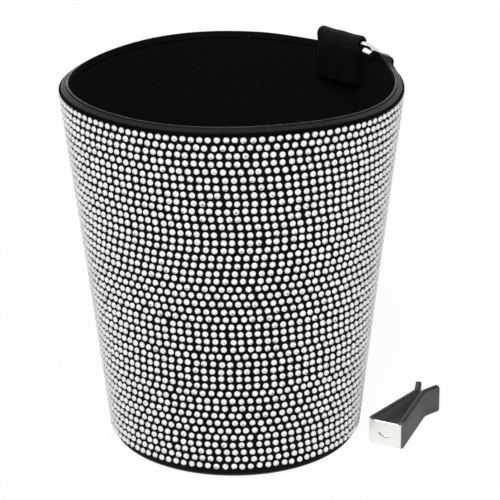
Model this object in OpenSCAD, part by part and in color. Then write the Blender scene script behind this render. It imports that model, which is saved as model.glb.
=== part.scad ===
// Car trash bin: a round tapered bin with rows of stones around its wall,
// a webbing loop with a D-ring at the back of its rim, and a vent clip.
// Millimetres. The origin is the centre of the base on the floor, +Z is up,
// and the loop is at +Y.

/* [Wall] */
// Height of the wall's layers, from the floor to their cut edge
wall_h = 159; // [120:1:200]
// Radius of the wall's outer face at the mouth
mouth_r = 69; // [60:0.5:85]
// Radius that the straight side would reach at the floor
base_r = 53; // [45:0.5:58]
// Radius of the rounded foot, seen in section
foot_round = 5.5; // [4:0.5:10]
// Thickness of the black sheet that the stones sit on
sheet_t = 0.8; // [0.5:0.1:1.2]
// How far the sheet's cut edge lies below the lining's, under the binding
sheet_drop = 1.7; // [1.4:0.1:1.9]
// Thickness of the moulded shell
shell_t = 1.4; // [1:0.1:2.5]
// How far the shell's bevelled edge falls, from the lining to the sheet
shell_drop = 1.1; // [0.8:0.1:1.3]
// Thickness of the woven lining
lining_t = 0.6; // [0.4:0.1:1]
// Width of the tape over the lining's seam
seam_w = 3.4; // [2:0.2:6]
// Thickness of the tape over the lining's seam
seam_t = 0.4; // [0.2:0.1:0.6]
// Where the base cover's edge meets the sheet, as degrees around the foot
cover_angle = 38; // [25:1:60]

/* [Stones] */
// Width of one row of stones
stone_w = 2.5; // [1.5:0.1:3]
// Width of the flat top of a row
stone_top = 1.3; // [0.6:0.1:1.5]
// How far the stones stand out from the sheet
stone_h = 1.1; // [0.6:0.1:1.5]
// Distance from one row to the next, along the wall
row_pitch = 3.48; // [3.2:0.01:5]
// Bare sheet between the rim binding and the first row
rim_margin = 0.4; // [0.3:0.1:3]

/* [Rim] */
// Thickness of the rim binding
binding_t = 0.6; // [0.4:0.1:1.2]
// How far the binding reaches down the wall
binding_h = 2.1; // [2.1:0.1:8]
// How far the binding falls away, from its inner edge to its outer one
binding_fall = 2.3; // [1:0.1:2.3]
// Width of the flat bead along the binding's inner edge
bead_w = 0.9; // [0.8:0.1:1.6]
// Radius of the binding's inner edge
binding_round = 0.4; // [0.2:0.1:0.7]
// How far the binding's lapped end stands out over the rest
lap_t = 0.5; // [0.3:0.1:0.8]
// Angle that the lapped end covers
lap_angle = 7; // [4:1:12]
// Place of the lapped end, clockwise from the loop
lap_at = 31; // [20:1:60]

/* [Hang loop] */
// Width of the webbing
webbing_w = 25; // [15:1:30]
// Thickness of the webbing
webbing_t = 1.5; // [1:0.1:2]
// How far the two legs reach down inside the wall
leg_len = 13; // [8:1:25]
// Gap between the bar of the ring and the webbing around it
eye_gap = 0.4; // [0.2:0.1:0.8]
// Gap between the eye and the binding under it
eye_lift = 1.2; // [0.2:0.1:2]
// Gap between the legs' edges and the binding
leg_gap = 0.2; // [0.1:0.1:0.5]
// How far the eye leans out past the legs
eye_lean = 1.2; // [0:0.1:2.6]
// Stitches in each row through the legs
stitch_count = 7; // [4:1:10]
// Length of one stitch
stitch_len = 2; // [1:0.1:2.2]
// Width of the thread
stitch_w = 0.5; // [0.3:0.1:0.8]
// How far the thread stands out
stitch_t = 0.25; // [0.1:0.05:0.5]

/* [D-ring] */
// Diameter of the ring's wire
ring_wire = 2.4; // [1.5:0.1:3]
// Play of the webbing between the ring's two legs, in all
ring_play = 2; // [1:0.2:5]
// Radius of the ring's two corners, at the middle of the wire
ring_corner = 3; // [2.5:0.1:5]
// Straight part of each leg of the ring
ring_leg = 1.5; // [0.5:0.5:8]
// Lean of the ring from straight down, where it rests over the rim
ring_lean = 57; // [55:1:80]

/* [Vent clip] */
// Width of the clip's spring strip
clip_w = 10.5; // [8:0.5:14]
// Thickness of the spring strip
clip_t = 0.8; // [0.5:0.1:1]
// Width of the clip's bare end plate
clip_plate = 14; // [11:0.5:18]
// Distance from the end plate to where the legs meet
clip_leg = 36; // [28:1:50]
// Length of the flared ends, past where the legs meet
clip_flare = 8; // [5:0.5:12]
// Spread of each flared end from the middle
clip_spread = 4.5; // [3:0.5:7]
// Wall of the sleeves on the two legs
sleeve_t = 0.9; // [0.6:0.1:1.2]
// Gap between the two sleeves where they meet
clip_gap = 0.3; // [0.2:0.1:2]
// Bare metal between the end plate and each sleeve
sleeve_from = 1.2; // [0.8:0.1:4]
// Width of the curved slot in the end plate
slot_w = 0.8; // [0.8:0.1:1.6]
// Radius of the slot's curve
slot_r = 3.2; // [2.5:0.1:3.8]
// Clear floor between the foot of the wall and the clip
clip_clear = 6; // [4:1:40]
// Direction of the clip from the middle of the bin
clip_dir = 29; // [0:1:70]
// Direction in which the clip's legs point
clip_turn = 109; // [80:1:110]

/* [Hidden] */
$fn = 128;

// Steps in the arc of the foot and of the binding's inner edge
foot_steps = 8;
edge_steps = 4;

// The wall's lean, its length along the slope, and the foot's arc centre
taper = atan((mouth_r - base_r) / wall_h);
arc_r = base_r - foot_round * (1 - sin(taper)) / cos(taper);
straight_len = (wall_h - foot_round * (1 - sin(taper))) / cos(taper);

// Depths of the layers behind the wall's outer face
shell_out = sheet_t;
shell_in = shell_out + shell_t;
lining_in = shell_in + lining_t;
binding_in = lining_in + binding_t;

// Heights of the sheet's cut edge and of the low side of the shell's
sheet_top = wall_h - sheet_drop;
shell_edge = wall_h - shell_drop;

// Rows of stones that fit on the straight part of the wall
first_row = binding_h + rim_margin + stone_w / 2;
row_count = 1 + floor((straight_len - stone_w / 2 - first_row) / row_pitch);

// The loop's eye, the ring's bar in its middle, and the legs' outer face
eye_in = ring_wire / 2 + eye_gap;
eye_out = eye_in + webbing_t;
rim_top = wall_h + binding_t;
eye_z = rim_top + eye_lift + eye_out;
inner_r = mouth_r - binding_in / cos(taper);
leg_face = sqrt(pow(inner_r, 2) - pow(webbing_w / 2, 2)) - leg_gap;
eye_y = leg_face - webbing_t + eye_lean;

// Half the ring's width, at the middle of the wire
ring_half = (webbing_w + ring_play + ring_wire) / 2;

// The end plate stands this far from the middle of the bin
clip_away = base_r + stone_h + clip_clear + clip_plate / 2 + sleeve_t;

// The clip's legs, at the middle of the strip
sleeve_half = clip_t / 2 + sleeve_t;
meet_v = clip_gap / 2 + sleeve_half;
leg_angle = atan((clip_plate / 2 - meet_v) / clip_leg);
flare_angle = atan((clip_spread - meet_v) / clip_flare);

// A point at a depth d behind the wall's outer face, s down the slope
function on_wall(s, d) = [
    mouth_r - s * sin(taper) - d * cos(taper),
    wall_h - s * cos(taper) + d * sin(taper)
];

// Radius of the face at a depth d, at a height z
function face_r(d, z) = base_r + z * tan(taper) - d / cos(taper);

// The foot's arc at a depth d, between two angles under the horizontal
function foot_arc(d, from, to) = [
    for (i = [0 : foot_steps])
    let (a = from + (to - from) * i / foot_steps)
    [arc_r + (foot_round - d) * cos(a), foot_round - (foot_round - d) * sin(a)]
];

function reversed(points) = [
    for (i = [len(points) - 1 : -1 : 0]) points[i]
];

// One layer of the wall, from its cut edge to an angle of the foot
module wall_layer(outer, inner, foot_end, top) {
    rotate_extrude()
        polygon(concat(
            [[face_r(outer, top), top]],
            foot_arc(outer, taper, foot_end),
            reversed(foot_arc(inner, taper, foot_end)),
            [[face_r(inner, top), top]]
        ));
}

module shell() {
    color("dimgray")
        rotate_extrude()
            polygon(concat(
                [[face_r(shell_out, shell_edge), shell_edge]],
                foot_arc(shell_out, taper, 90),
                [[0, shell_out], [0, shell_in]],
                reversed(foot_arc(shell_in, taper, 90)),
                [[face_r(shell_in, wall_h), wall_h]]
            ));
}

module outer_sheet() {
    color("#18181a") wall_layer(0, shell_out, cover_angle, sheet_top);
}

// One row: a low ridge on the sheet, s down the slope from the mouth
module stone_row(s) {
    rotate_extrude()
        polygon([
            on_wall(s - stone_w / 2, 0),
            on_wall(s - stone_top / 2, -stone_h),
            on_wall(s + stone_top / 2, -stone_h),
            on_wall(s + stone_w / 2, 0)
        ]);
}

module rhinestone_rows() {
    color("gainsboro")
        for (i = [0 : row_count - 1])
            stone_row(first_row + i * row_pitch);
}

module base_cover() {
    color("#2a2a2c")
        rotate_extrude()
            polygon(concat(
                foot_arc(0, cover_angle, 90),
                [[0, 0], [0, shell_out]],
                reversed(foot_arc(shell_out, cover_angle, 90))
            ));
}

module lining_wall() {
    color("#101012") wall_layer(shell_in, lining_in, 90, wall_h);
}

module lining_floor() {
    color("#101012")
        translate([0, 0, shell_in])
            cylinder(r = arc_r, h = lining_t);
}

// A strip down the lining, cut out of a thin layer, under the loop
module lining_seam_tape() {
    tape_in = lining_in + seam_t;
    tape_top = wall_h - leg_len - seam_w;
    color("#0c0c0e")
        intersection() {
            rotate_extrude()
                polygon(concat(
                    [[face_r(lining_in, tape_top), tape_top]],
                    foot_arc(lining_in, taper, 90),
                    reversed(foot_arc(tape_in, taper, 90)),
                    [[face_r(tape_in, tape_top), tape_top]]
                ));
            translate([-seam_w / 2, 0, 0])
                cube([seam_w, mouth_r, wall_h]);
        }
}

// The binding's section, grown by g over its outer, upper and inner faces
module binding_section(g) {
    out = face_r(-binding_t - g, wall_h);
    in = face_r(binding_in + g, wall_h);
    top = rim_top + g;
    crest = in + bead_w;
    polygon(concat(
        [
            on_wall(binding_h, -binding_t - g),
            [out, top - binding_fall],
            [out * 0.85 + crest * 0.15, top - binding_fall * 0.72],
            [crest, top]
        ],
        [
            for (i = [0 : edge_steps])
            let (a = 90 + 90 * i / edge_steps)
            [
                in + binding_round * (1 + cos(a)),
                top - binding_round * (1 - sin(a))
            ]
        ],
        [
            on_wall(binding_h, binding_in + g),
            on_wall(binding_h, lining_in),
            [face_r(lining_in, wall_h), wall_h],
            [face_r(shell_in, wall_h), wall_h],
            [face_r(shell_out, shell_edge), shell_edge],
            [face_r(shell_out, sheet_top), sheet_top],
            [face_r(0, sheet_top), sheet_top],
            on_wall(binding_h, 0)
        ]
    ));
}

module rim_binding() {
    color("#3a3a3c") {
        rotate_extrude() binding_section(0);
        rotate([0, 0, 90 - lap_at - lap_angle / 2])
            rotate_extrude(angle = lap_angle) binding_section(lap_t);
    }
}

// The webbing, doubled in its legs and opened to an eye around the bar
module hang_loop() {
    low = wall_h - leg_len;
    back = leg_face - leg_len * tan(taper);
    thick = 2 * webbing_t;
    color("#161618")
        translate([-webbing_w / 2, 0, 0])
            rotate([90, 0, 90])
                linear_extrude(webbing_w)
                    difference() {
                        union() {
                            translate([eye_y, eye_z]) circle(r = eye_out, $fn = 48);
                            polygon([
                                [back - thick, low],
                                [back, low],
                                [leg_face, wall_h],
                                [leg_face, rim_top + eye_lift],
                                [eye_y, eye_z],
                                [eye_y - eye_out, eye_z],
                                [leg_face - thick, wall_h]
                            ]);
                        }
                        translate([eye_y, eye_z]) circle(r = eye_in, $fn = 48);
                    }
}

// Two rows of thread on the legs' inner face
module loop_stitches() {
    step = (webbing_w - 2 * stitch_len) / (stitch_count - 1);
    color("#26262a")
        for (down = [leg_len * 0.35, leg_len * 0.8])
            translate([0, leg_face - down * tan(taper) - 2 * webbing_t, wall_h - down])
                rotate([-taper, 0, 0])
                    for (i = [0 : stitch_count - 1])
                        translate([
                            -webbing_w / 2 + stitch_len / 2 + i * step,
                            -stitch_t,
                            -stitch_w / 2
                        ])
                            cube([stitch_len, stitch_t, stitch_w]);
}

// A quarter of a ring corner's bend, in the XZ plane, from +X down to -Z
module ring_bend(radius, from, to) {
    rotate([90, 0, 0])
        rotate([0, 0, from])
            rotate_extrude(angle = to - from)
                translate([radius, 0]) circle(d = ring_wire, $fn = 32);
}

// The ring hangs from its bar, which lies along X in the loop's eye
module d_ring() {
    bar = 2 * (ring_half - ring_corner);
    turn_z = -ring_corner - ring_leg;
    color("silver")
        translate([0, eye_y, eye_z])
            rotate([ring_lean, 0, 0]) {
                translate([-bar / 2, 0, 0])
                    rotate([0, 90, 0]) cylinder(d = ring_wire, h = bar, $fn = 32);
                for (side = [-1, 1]) {
                    translate([side * bar / 2, 0, -ring_corner])
                        ring_bend(ring_corner, side > 0 ? 0 : 90, side > 0 ? 90 : 180);
                    translate([side * ring_half, 0, turn_z])
                        cylinder(d = ring_wire, h = ring_leg, $fn = 32);
                }
                translate([0, 0, turn_z]) ring_bend(ring_half, 180, 360);
            }
}

// Places what is drawn with the end plate at the origin and legs along +X
module at_clip() {
    rotate([0, 0, clip_dir])
        translate([clip_away, 0, 0])
            rotate([0, 0, clip_turn - clip_dir])
                children();
}

// A straight piece of strip or sleeve, from a point, at an angle
module clip_bar(from, angle, length, thick) {
    translate(from)
        rotate(angle)
            translate([0, -thick / 2]) square([length, thick]);
}

// The middle line of the leg on one side, as a flat shape
module clip_leg_shape(side, thick, start) {
    leg_run = clip_leg / cos(leg_angle);
    flare_run = clip_flare / cos(flare_angle);
    clip_bar(
        [start * cos(leg_angle), side * (clip_plate / 2 - start * sin(leg_angle))],
        -side * leg_angle, leg_run - start, thick
    );
    clip_bar([clip_leg, side * meet_v], side * flare_angle, flare_run, thick);
    translate([clip_leg, side * meet_v]) circle(d = thick, $fn = 32);
}

// The curved slot, as an arc in the end plate's own plane
module slot_shape() {
    span = 60;
    steps = 8;
    arc = [for (i = [0 : steps]) -90 - span + 2 * span * i / steps];
    polygon(concat(
        [for (a = arc) (slot_r + slot_w / 2) * [cos(a), sin(a)]],
        [for (i = [steps : -1 : 0]) (slot_r - slot_w / 2) * [cos(arc[i]), sin(arc[i])]]
    ));
}

module clip_strip() {
    color("gainsboro")
        at_clip()
            translate([0, 0, sleeve_t])
                difference() {
                    linear_extrude(clip_w) {
                        for (side = [-1, 1]) clip_leg_shape(side, clip_t, 0);
                        translate([-clip_t / 2, -(clip_plate + clip_t) / 2])
                            square([clip_t, clip_plate + clip_t]);
                    }
                    translate([-clip_t, 0, clip_w / 2 + slot_r / 2])
                        rotate([90, 0, 90])
                            linear_extrude(2 * clip_t) slot_shape();
                }
}

module clip_sleeve(side) {
    outside = clip_t + 2 * sleeve_t;
    color("#303032")
        at_clip()
            difference() {
                linear_extrude(clip_w + 2 * sleeve_t)
                    clip_leg_shape(side, outside, sleeve_from);
                translate([0, 0, sleeve_t])
                    linear_extrude(clip_w) clip_leg_shape(side, clip_t, 0);
            }
}

module clip_sleeve_left() {
    clip_sleeve(1);
}

module clip_sleeve_right() {
    clip_sleeve(-1);
}

shell();
outer_sheet();
rhinestone_rows();
base_cover();
lining_wall();
lining_floor();
lining_seam_tape();
rim_binding();
hang_loop();
loop_stitches();
d_ring();
clip_strip();
clip_sleeve_left();
clip_sleeve_right();
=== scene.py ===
"""The look of a tapered car trash bin: rhinestone rows, webbing loop and vent clip.

Sizes are in millimetres and repeat the part's source. Meshes are made in metres.
"""

import math

import bmesh
import bpy
import numpy as np
from mathutils import Matrix, Vector


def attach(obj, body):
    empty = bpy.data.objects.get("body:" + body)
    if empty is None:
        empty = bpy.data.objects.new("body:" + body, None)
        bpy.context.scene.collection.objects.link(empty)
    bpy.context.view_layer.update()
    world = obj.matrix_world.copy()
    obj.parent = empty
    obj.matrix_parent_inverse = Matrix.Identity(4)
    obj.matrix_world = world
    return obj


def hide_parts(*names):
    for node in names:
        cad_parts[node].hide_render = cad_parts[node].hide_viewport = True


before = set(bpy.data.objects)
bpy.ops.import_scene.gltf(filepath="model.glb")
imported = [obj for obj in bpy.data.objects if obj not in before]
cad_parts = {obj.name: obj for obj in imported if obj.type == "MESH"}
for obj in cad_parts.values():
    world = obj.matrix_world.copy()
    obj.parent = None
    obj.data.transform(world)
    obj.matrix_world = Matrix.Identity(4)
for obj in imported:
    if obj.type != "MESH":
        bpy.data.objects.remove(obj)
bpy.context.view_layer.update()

MM = 0.001

# Wall, from the part's source
WALL_H = 159.0
MOUTH_R = 69.0
BASE_R = 53.0
FOOT_ROUND = 5.5
SHEET_T = 0.8
SHEET_DROP = 1.7
SHELL_T = 1.4
SHELL_DROP = 1.1
LINING_T = 0.6
SEAM_W = 3.4
SEAM_T = 0.4
COVER_ANGLE = math.radians(38)
ROW_HALF = 1.25
ROW_H = 1.1
ROW_PITCH = 3.48
RIM_MARGIN = 0.4
BINDING_T = 0.6
BINDING_H = 2.1
BINDING_FALL = 2.3
LAP_T = 0.8
LAP_FROM = math.radians(62)
LAP_TO = math.radians(73.5)
WEBBING_W = 25.0
WEBBING_T = 1.5
LEG_LEN = 13.0
LEG_GAP = 0.2
EYE_GAP = 0.4
EYE_LIFT = 1.2
EYE_LEAN = 1.2
RING_WIRE = 2.4
RING_CORNER = 3.0
RING_LEG = 1.5
RING_HALF = 14.7
RING_LEAN = math.radians(57)
STITCH_COUNT = 7
STITCH_LEN = 2.0
STITCH_W = 0.5
STITCH_T = 0.25
CLIP_W = 10.5
CLIP_T = 0.8
CLIP_PLATE = 14.0
CLIP_LEG = 36.0
CLIP_FLARE = 8.0
CLIP_SPREAD = 4.5
SLEEVE_T = 0.9
CLIP_GAP = 0.3
SLEEVE_FROM = 1.2
CLIP_CLEAR = 6.0
CLIP_DIR = math.radians(29)
CLIP_TURN = math.radians(109)

# Worked out from those, as in the source
TAPER = math.atan((MOUTH_R - BASE_R) / WALL_H)
ARC_R = BASE_R - FOOT_ROUND * (1 - math.sin(TAPER)) / math.cos(TAPER)
STRAIGHT = (WALL_H - FOOT_ROUND * (1 - math.sin(TAPER))) / math.cos(TAPER)
SHEET_TOP = WALL_H - SHEET_DROP
SHELL_EDGE = WALL_H - SHELL_DROP
SHELL_IN = SHEET_T + SHELL_T
LINING_IN = SHELL_IN + LINING_T
BINDING_IN = LINING_IN + BINDING_T
FIRST_ROW = BINDING_H + RIM_MARGIN + ROW_HALF
ROWS = 1 + math.floor((STRAIGHT - ROW_HALF - FIRST_ROW) / ROW_PITCH)
EYE_IN = RING_WIRE / 2 + EYE_GAP
EYE_OUT = EYE_IN + WEBBING_T
RIM_TOP = WALL_H + BINDING_T
EYE_Z = RIM_TOP + EYE_LIFT + EYE_OUT
INNER_R = MOUTH_R - BINDING_IN / math.cos(TAPER)
LEG_FACE = math.sqrt(INNER_R ** 2 - (WEBBING_W / 2) ** 2) - LEG_GAP
EYE_Y = LEG_FACE - WEBBING_T + EYE_LEAN
CLIP_AWAY = BASE_R + ROW_H + CLIP_CLEAR + CLIP_PLATE / 2 + SLEEVE_T

# The photograph's view: direction, height, distance, and the lens that frames it
VIEW_TURN = math.radians(48)
VIEW_RISE = math.radians(20.86)
VIEW_ROLL = math.radians(-0.56)
VIEW_DISTANCE = 1.0
VIEW_LENS = 168.5
VIEW_SHIFT = (0.0324, 0.0126)

# Harmonics of the soft mouth's outline and height: order, cosine and sine, in millimetres
MOUTH_WAVES = ((1, 0.27, -0.37), (2, 1.72, -0.51), (3, -0.52, -0.30), (4, 0.42, 0.31))
MOUTH_LIFTS = ((0, -0.55, 0), (1, -0.12, 1.92), (2, -0.57, 0.08), (3, -0.17, 0.34),
               (4, -0.03, 0.41))
# The wall stays a true circle this far to each side of the loop, and fades to its waves
LOOP_AT = math.pi / 2
STIFF_HALF = math.radians(15)
STIFF_FADE = math.radians(22)
# The pull on the rim where its binding is doubled: height, and how it starts and ends
LAP_LIFT = 2.7
PULL_LEAD, PULL_RISE = math.radians(4), math.radians(8)
PULL_STOP, PULL_FALL = math.radians(3), math.radians(5)

# Single stones: radius and height of their rings, at the sheet, the girdle, half way up
# and around the table. STONE_SIZE is the share of this shape that a stone has.
STONE_R = 1.29
STONE_RINGS = ((STONE_R, -0.05), (STONE_R, 0.32), (0.98, 0.82), (0.48, 1.08))
STONE_SIZE = 0.97
STONE_STEP = 3.57
# Standard deviations of a stone's place along and across its row, its tilt, its size
# and the place of its painted dark reflection
ALONG_SPREAD = 0.13
DOWN_SPREAD = 0.1
TILT_SPREAD = math.radians(2.0)
SIZE_SPREAD = 0.012
DARK_REFLECTION_SPREAD = 0.22

# The binding over the rim: outer edge, slope, painted part, groove and bead. Pairs are
# millimetres out from the inner edge and down from the top.
EDGE_R = 0.5
EDGE_TURN = (-50, 57)
SLOPE_END = (1.25, 0.42)
SLOPE_CROWN = 0.1
PAINT_W = 0.95
PAINT_STEP = 0.08
GROOVE = ((1.12, 0.5), (0.95, 0.56), (0.8, 0.56), (0.7, 0.4))
BEAD_AT = (0.35, 0.1)
BEAD_R = (0.38, 0.45)
# Its creases: waves around the rim, waves across it and start, and their height
CREASES = ((83, 3, 0), (127, -4, 1.3), (171, 2, 0.4))
CREASE_H = 0.04
# Its cut end: swelling, the turn it rises in, and where and how far it sinks again
LAP_SWELL = 1.2
LAP_RISE = math.radians(2.2)
SINK_FROM, SINK_TURN = math.radians(5), math.radians(6)
SINK_SHARE = 0.65
LAP_CLOSE = math.radians(2)
# Full outwards this far from the section's middle; its first places don't rise
OUTWARD_FULL = 1.2
LEVEL_PLACES = 3

# Ribs of the webbing: height, step, the share of them left where it is sewn, and how
# far over the rim they are whole again
RIB_H = 0.11
RIB_STEP = 1.05
SEWN_SHARE = 0.25
WHOLE_ABOVE = 2.5
# Half the webbing's thickness under its ribs, as a share of the whole
CORE_SHARE = 0.46
# The strap's own wave: height, and radians for each millimetre across and along it
STRAP_WAVE = 0.10
WAVE_ACROSS, WAVE_ALONG = 0.55, 0.35
# The eye's turn, from the outer leg over the top to the inner one, how far the two legs
# rise over the rim before it, and the step of its points
EYE_TURN = (-78, 188)
OUTER_RISE, INNER_RISE = 0.1, 0.2
PATH_STEP = 0.12
# Thickness that the seam tape keeps at its edges
TAPE_EDGE = 0.35
# Depth of the stitches' rows, as shares of the legs' length, how far the thread stands
# out, as a share of its thickness, its least section at its ends, and how deep it lies
STITCH_ROWS = (0.35, 0.8)
STITCH_PROUD = 1.3
STITCH_END = 0.04
STITCH_SINK = 0.05

# The sleeve: corners of its skins, room around the strip, and the rings of its blunt
# tip, each a distance past the end and the share of the section that is left
SLEEVE_CORNER = 0.75
STRIP_CORNER = 0.2
STRIP_ROOM = 0.01
TIP_RINGS = ((0.35, 0.93), (0.6, 0.8), (0.75, 0.6))
# The step of its points along the leg, and how often they are eased to bend it softly
SLEEVE_STEP = 0.6
SLEEVE_ROUNDS = 10


# ---- shape helpers


def smooth_step(x):
    """0 below 0, 1 above 1, and 3x^2 - 2x^3 between."""
    x = np.clip(x, 0, 1)
    return x * x * (3 - 2 * x)


def on_wall(along, depth):
    """Radius and height at a distance down the slope and a depth behind its face."""
    s, c = math.sin(TAPER), math.cos(TAPER)
    return MOUTH_R - along * s - depth * c, WALL_H - along * c + depth * s


def face_r(depth, z):
    """Radius of the straight side at a depth and a height."""
    return BASE_R + z * math.tan(TAPER) - depth / math.cos(TAPER)


def foot_arc(depth, start, end, steps=14):
    """Points of the rounded foot: a circle's arc, start and end below the horizontal."""
    a = np.linspace(start, end, steps)
    r = FOOT_ROUND - depth
    return np.stack([ARC_R + r * np.cos(a), FOOT_ROUND - r * np.sin(a)], 1)


def down_wall(depth, foot_end, steps=40, edge=WALL_H):
    """Points from the wall's cut edge down the slope and around the foot."""
    foot = foot_arc(depth, TAPER, foot_end)
    top = np.array([face_r(depth, edge), edge])
    share = np.linspace(0, 1, steps, endpoint=False)[:, None]
    return np.concatenate([top + (foot[0] - top) * share, foot])


def layer(outer, inner, foot_end, edge=WALL_H):
    """Closed section of one layer of the wall."""
    return np.concatenate([down_wall(outer, foot_end, edge=edge),
                           down_wall(inner, foot_end, edge=edge)[::-1]])


def mouth_shape(turn, z):
    """How far the soft wall stands off its circle, and off its height.

    The radius gains cosines and sines of 1 to 4 times the angle, and grows with the
    height to the power of 1.5. The height gains those of 0 to 4 times the angle, and
    grows with its square. Both fade out beside the loop. Where the binding is doubled,
    between its cut end and the loop, the rim is pulled up.
    """
    a = turn - VIEW_TURN
    off_loop = np.abs((turn - LOOP_AT + math.pi) % (2 * math.pi) - math.pi)
    fade = smooth_step((off_loop - STIFF_HALF) / STIFF_FADE)
    up = np.clip(z / WALL_H, 0, 1.1)
    out, lift = (sum(c * np.cos(n * a) + s * np.sin(n * a) for n, c, s in waves)
                 for waves in (MOUTH_WAVES, MOUTH_LIFTS))
    pulled = (smooth_step((turn - LAP_FROM + PULL_LEAD) / PULL_RISE)
              * (1 - smooth_step((turn - LAP_TO + PULL_STOP) / PULL_FALL)))
    return out * fade * up ** 1.5, (lift * fade + pulled * LAP_LIFT) * up ** 2


def turned_points(turn, r, z):
    """A radius and height carried to an angle, on the mouth's own outline."""
    dr, dz = mouth_shape(turn, z)
    return np.stack([(r + dr) * np.cos(turn), (r + dr) * np.sin(turn), z + dz], -1)


def grid_faces(rows, cols, wrap_rows, wrap_cols):
    """Quads between neighbouring points of a grid, and their grid corners."""
    i, j = np.meshgrid(
        np.arange(rows if wrap_rows else rows - 1),
        np.arange(cols if wrap_cols else cols - 1),
        indexing="ij",
    )
    ii = np.stack([i, i + 1, i + 1, i], -1).reshape(-1, 4)
    jj = np.stack([j, j, j + 1, j + 1], -1).reshape(-1, 4)
    return (ii % rows) * cols + jj % cols, ii, jj


def make_piece(name, points, blocks, finish, body, slot, stands_for=(), uv=None,
               crease=40, recalc=True):
    """One piece from points in millimetres and blocks of faces with as many corners."""
    mesh = bpy.data.meshes.new(name)
    corners = np.concatenate([b.ravel() for b in blocks]).astype(np.int32)
    sizes = np.concatenate([np.full(len(b), b.shape[1]) for b in blocks])
    starts = np.concatenate([[0], np.cumsum(sizes)[:-1]]).astype(np.int32)
    mesh.vertices.add(len(points))
    mesh.vertices.foreach_set("co", (np.asarray(points) * MM).astype(np.float32).ravel())
    mesh.loops.add(len(corners))
    mesh.loops.foreach_set("vertex_index", corners)
    mesh.polygons.add(len(sizes))
    mesh.polygons.foreach_set("loop_start", starts)
    mesh.update(calc_edges=True)
    if uv is not None:
        layer_data = mesh.uv_layers.new(name="UVMap").data
        layer_data.foreach_set("uv", uv.astype(np.float32).ravel())
    mesh.validate()
    made = bpy.data.objects.new(name, mesh)
    bpy.context.scene.collection.objects.link(made)
    for one in finish if isinstance(finish, (list, tuple)) else [finish]:
        mesh.materials.append(one)
    if recalc:
        face_out(mesh)
    mesh.shade_smooth()
    mesh.set_sharp_from_angle(angle=math.radians(crease))
    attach(made, body)
    if stands_for:
        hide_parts(*stands_for)
    return made


def face_out(mesh):
    """Turns every face of a closed mesh outwards."""
    work = bmesh.new()
    work.from_mesh(mesh)
    bmesh.ops.recalc_face_normals(work, faces=work.faces)
    work.to_mesh(mesh)
    work.free()


def turned_piece(name, section, finish, slot, stands_for=(), turns=256, bulge=None,
                 **more):
    """A section turned around the axis on the mouth's outline.

    Each of its points goes round at its own radius and height plus what mouth_shape adds
    there. A section whose ends are on the axis gets a pole at each, and any other is
    closed.
    bulge(turn, place) may add millimetres of radius and of height.
    """
    poles = section[0, 0] == 0 and section[-1, 0] == 0
    ring = section[1:-1] if poles else section
    turn = np.linspace(0, 2 * math.pi, turns, endpoint=False)[:, None]
    r, z = ring[None, :, 0], ring[None, :, 1]
    if bulge is not None:
        more_r, more_z = bulge(turn, np.arange(len(ring))[None, :])
        r, z = r + more_r, z + more_z
    r, z = np.broadcast_arrays(r + 0 * turn, z + 0 * turn)
    points = turned_points(turn, r, z).reshape(-1, 3)
    quads, ii, jj = grid_faces(turns, len(ring), True, not poles)
    sides = np.diff(np.vstack([ring, ring[:1]]), axis=0)
    length = np.concatenate([[0], np.cumsum(np.hypot(*sides.T))])
    u = ii * (2 * math.pi / turns) * ring[:, 0].mean()
    uv = np.stack([u, length[jj]], -1) * MM
    blocks = [quads]
    uvs = [uv.reshape(-1, 2)]
    if poles:
        count = len(points)
        points = np.vstack([points, [[0, 0, section[0, 1]], [0, 0, section[-1, 1]]]])
        row = np.arange(turns)
        after = (row + 1) % turns
        first = np.stack([row * len(ring), after * len(ring), np.full(turns, count)], 1)
        last = np.stack([after * len(ring), row * len(ring), np.full(turns, count)], 1)
        last[:, :2] += len(ring) - 1
        last[:, 2] += 1
        blocks += [first, last]
        uvs += [np.zeros((turns * 6, 2))]
    return make_piece(name, points, blocks, finish, "bin", slot, stands_for,
                      uv=np.vstack(uvs), **more)


def swept_piece(name, rings, finish, body, slot, stands_for=(), loop=False, uv=None,
                **more):
    """Rings of points joined one to the next, closed at both ends unless it is a loop."""
    count, size = rings.shape[:2]
    quads, ii, jj = grid_faces(count, size, loop, True)
    points = rings.reshape(-1, 3)
    blocks = [quads]
    uvs = [uv(ii, jj).reshape(-1, 2) if uv else np.zeros((quads.size, 2))]
    if not loop:
        points = np.vstack([points, rings[0].mean(0), rings[-1].mean(0)])
        j = np.arange(size)
        after = (j + 1) % size
        blocks += [
            np.stack([after, j, np.full(size, count * size)], 1),
            np.stack([j + (count - 1) * size, after + (count - 1) * size,
                      np.full(size, count * size + 1)], 1),
        ]
        uvs += [np.zeros((size * 6, 2))]
    return make_piece(name, points, blocks, finish, body, slot, stands_for,
                      uv=np.vstack(uvs), **more)


def along_path(path):
    """Distance of each point of a path from its start."""
    return np.concatenate([[0], np.cumsum(np.linalg.norm(np.diff(path, axis=0), axis=1))])


def spaced(path, step):
    """The same path with its points a step apart."""
    at = along_path(path)
    even = np.linspace(0, at[-1], max(2, int(round(at[-1] / step)) + 1))
    return np.stack([np.interp(even, at, path[:, k]) for k in range(path.shape[1])], 1)


def eased(path, rounds=2):
    """The path with its corners cut: each point takes a quarter of each neighbour."""
    for _ in range(rounds):
        inner = 0.25 * path[:-2] + 0.5 * path[1:-1] + 0.25 * path[2:]
        path = np.vstack([path[:1], inner, path[-1:]])
    return path


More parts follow.
